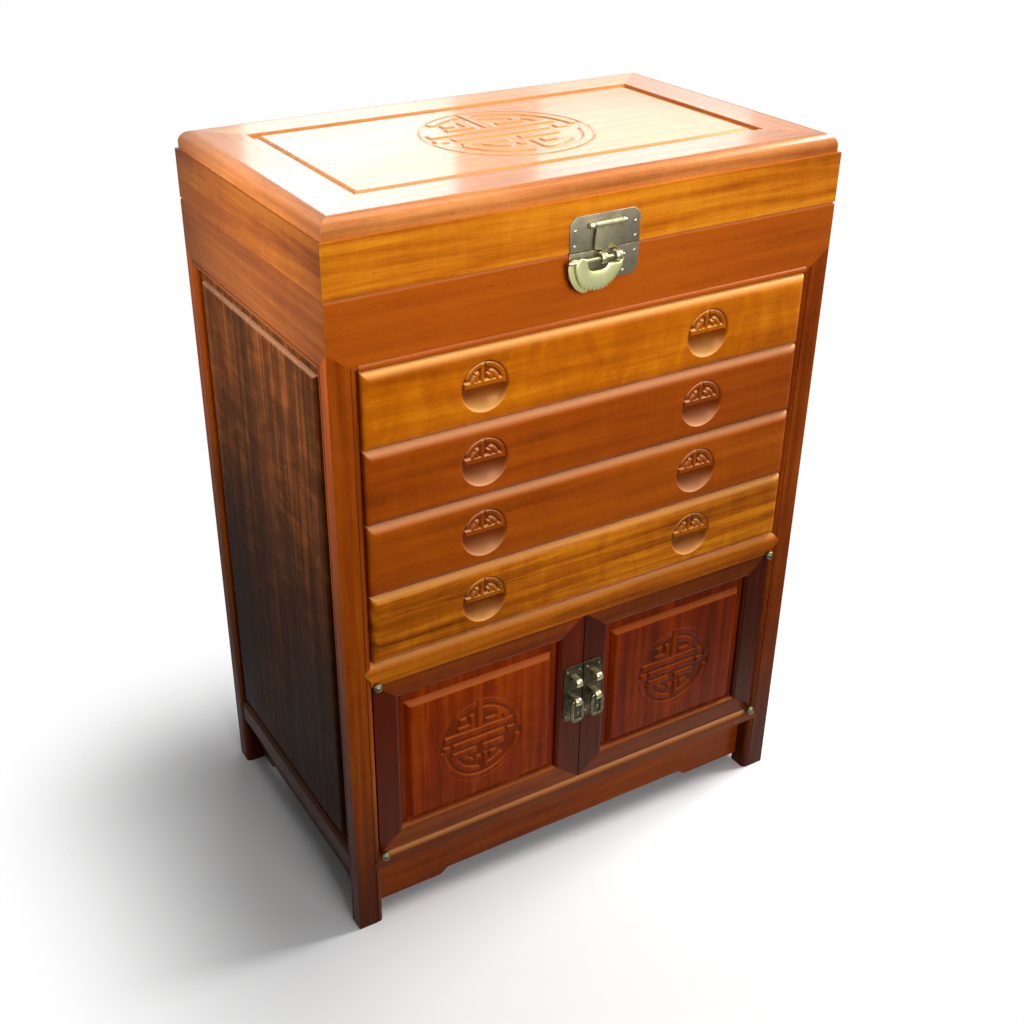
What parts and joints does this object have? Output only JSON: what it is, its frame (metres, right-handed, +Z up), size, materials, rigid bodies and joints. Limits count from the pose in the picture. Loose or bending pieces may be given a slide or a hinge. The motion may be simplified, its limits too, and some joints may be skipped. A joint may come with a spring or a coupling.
{
  "type": "storage cabinet",
  "caption": "Free-standing wooden cabinet with a hinged lid over a well, drawers with carved finger pulls, a two-door cupboard, raised panels and a brass padlock.",
  "frame": {"origin": "on the floor under the middle of the whole cabinet", "axes": "+X to the cabinet's right seen from the front, +Y to its back, +Z up"},
  "size_m": [0.56, 0.3692, 0.784],
  "materials": {
    "case_wood": "satin",
    "lid_wood": "satin",
    "drawer_wood": "satin",
    "door_wood": "satin",
    "inner_wood": "matte",
    "aged_brass": "satin"
  },
  "bodies": {
    "carcass": {"front_left_post": "case_wood", "front_right_post": "case_wood", "rear_left_post": "case_wood", "rear_right_post": "case_wood", "front_top_rail": "case_wood", "right_top_rail": "case_wood", "rear_top_rail": "case_wood", "left_top_rail": "case_wood", "mid_rail": "case_wood", "front_bottom_rail": "case_wood", "left_bottom_rail": "case_wood", "right_bottom_rail": "case_wood", "rear_bottom_rail": "case_wood", "front_apron": "case_wood", "side_aprons": "case_wood", "left_side_panel": "case_wood", "right_side_panel": "case_wood", "back_panel": "case_wood", "well_floor": "inner_wood", "drawer_dust_panel": "inner_wood", "cupboard_floor": "inner_wood", "drawer_runners": "inner_wood", "body_lock_plate": "aged_brass", "left_case_pivots": "aged_brass", "right_case_pivots": "aged_brass", "lid_hinge_lower_leaves": "aged_brass"},
    "lid": {"lid_front_board": "lid_wood", "lid_right_board": "lid_wood", "lid_rear_board": "lid_wood", "lid_left_board": "lid_wood", "top_front_member": "lid_wood", "top_right_member": "lid_wood", "top_rear_member": "lid_wood", "top_left_member": "lid_wood", "lid_panel": "lid_wood", "lid_lock_plate": "aged_brass", "lid_hinge_upper_leaves": "aged_brass"},
    "hasp": {"hasp": "aged_brass"},
    "padlock": {"padlock_body": "aged_brass"},
    "padlock_bar": {"padlock_bar": "aged_brass"},
    "drawer_1": {"drawer_1_front": "drawer_wood", "drawer_1_box": "inner_wood"},
    "drawer_2": {"drawer_2_front": "drawer_wood", "drawer_2_box": "inner_wood"},
    "drawer_3": {"drawer_3_front": "drawer_wood", "drawer_3_box": "inner_wood"},
    "drawer_4": {"drawer_4_front": "drawer_wood", "drawer_4_box": "inner_wood"},
    "left_door": {"left_door_frame": "door_wood", "left_door_panel": "door_wood", "left_door_pivots": "aged_brass", "left_door_plate": "aged_brass"},
    "left_pull": {"left_drop_pull": "aged_brass"},
    "right_door": {"right_door_frame": "door_wood", "right_door_panel": "door_wood", "right_door_pivots": "aged_brass", "right_door_plate": "aged_brass"},
    "right_pull": {"right_drop_pull": "aged_brass"}
  },
  "joints": [
    {"name": "lid_hinge", "type": "hinge", "parent": "carcass", "child": "lid", "pos_m": [0, 0.18065, 0.717], "axis": [-1, 0, 0], "range_deg": [0, 95]},
    {"name": "hasp_hinge", "type": "hinge", "parent": "lid", "child": "hasp", "pos_m": [0, -0.17365, 0.741], "axis": [-1, 0, 0], "range_deg": [0, 165]},
    {"name": "padlock_swing", "type": "hinge", "parent": "carcass", "child": "padlock", "pos_m": [0, -0.17965, 0.7115], "axis": [-1, 0, 0], "range_deg": [0, 60]},
    {"name": "padlock_bar_slide", "type": "slide", "parent": "padlock", "child": "padlock_bar", "axis": [-1, 0, 0], "range_m": [0, 0.035]},
    {"name": "drawer_1_slide", "type": "slide", "parent": "carcass", "child": "drawer_1", "axis": [0, -1, 0], "range_m": [0, 0.24]},
    {"name": "drawer_2_slide", "type": "slide", "parent": "carcass", "child": "drawer_2", "axis": [0, -1, 0], "range_m": [0, 0.24]},
    {"name": "drawer_3_slide", "type": "slide", "parent": "carcass", "child": "drawer_3", "axis": [0, -1, 0], "range_m": [0, 0.24]},
    {"name": "drawer_4_slide", "type": "slide", "parent": "carcass", "child": "drawer_4", "axis": [0, -1, 0], "range_m": [0, 0.24]},
    {"name": "left_door_hinge", "type": "hinge", "parent": "carcass", "child": "left_door", "pos_m": [-0.2475, -0.17205, 0.2048], "axis": [0, 0, -1], "range_deg": [0, 170]},
    {"name": "left_pull_hinge", "type": "hinge", "parent": "left_door", "child": "left_pull", "pos_m": [-0.013, -0.17765, 0.212], "axis": [-1, 0, 0], "range_deg": [0, 95]},
    {"name": "right_door_hinge", "type": "hinge", "parent": "carcass", "child": "right_door", "pos_m": [0.2475, -0.17205, 0.2048], "axis": [0, 0, 1], "range_deg": [0, 170]},
    {"name": "right_pull_hinge", "type": "hinge", "parent": "right_door", "child": "right_pull", "pos_m": [0.013, -0.17765, 0.212], "axis": [-1, 0, 0], "range_deg": [0, 95]}
  ]
}
